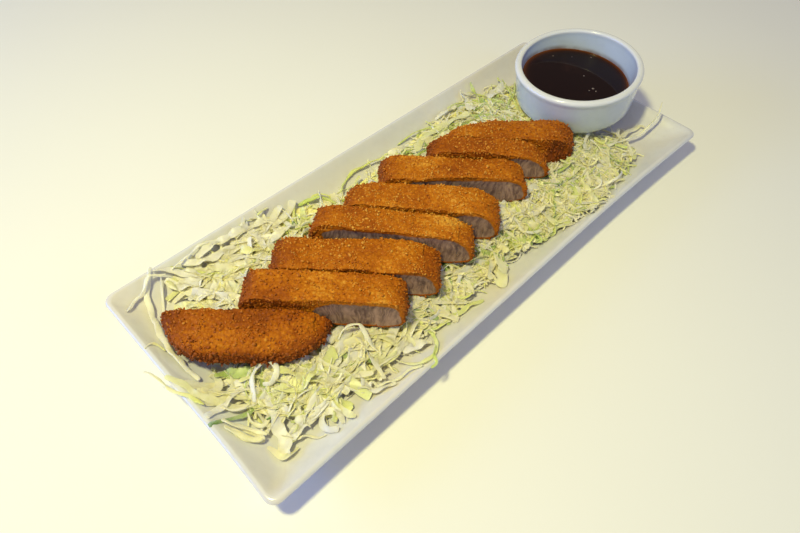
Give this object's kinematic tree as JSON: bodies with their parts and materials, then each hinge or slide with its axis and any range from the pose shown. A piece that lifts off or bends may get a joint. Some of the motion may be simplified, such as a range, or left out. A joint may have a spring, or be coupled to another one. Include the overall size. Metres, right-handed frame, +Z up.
{
  "type": "tonkatsu plate",
  "caption": "Breaded pork cutlet in leaning slices on a bed of shredded cabbage, with a round cup of dark sauce, on a long shallow porcelain platter.",
  "frame": {"origin": "middle of the platter's flat foot, on the table", "axes": "+X along the platter towards the sauce cup, +Y across it towards the long side behind the slices, +Z up"},
  "size_m": [0.3674, 0.1493, 0.0521],
  "materials": {
    "porcelain": "gloss",
    "cup_glaze": "gloss",
    "sauce": "polished",
    "cabbage": "satin",
    "crust": "matte"
  },
  "bodies": {
    "root": {"plate": "porcelain", "sauce_cup": "cup_glaze", "sauce": "sauce", "cabbage_bed": "cabbage", "katsu_slice_1": "crust", "katsu_slice_2": "crust", "katsu_slice_3": "crust", "katsu_slice_4": "crust", "katsu_slice_5": "crust", "katsu_slice_6": "crust", "katsu_slice_7": "crust", "katsu_slice_8": "crust"}
  },
  "joints": []
}
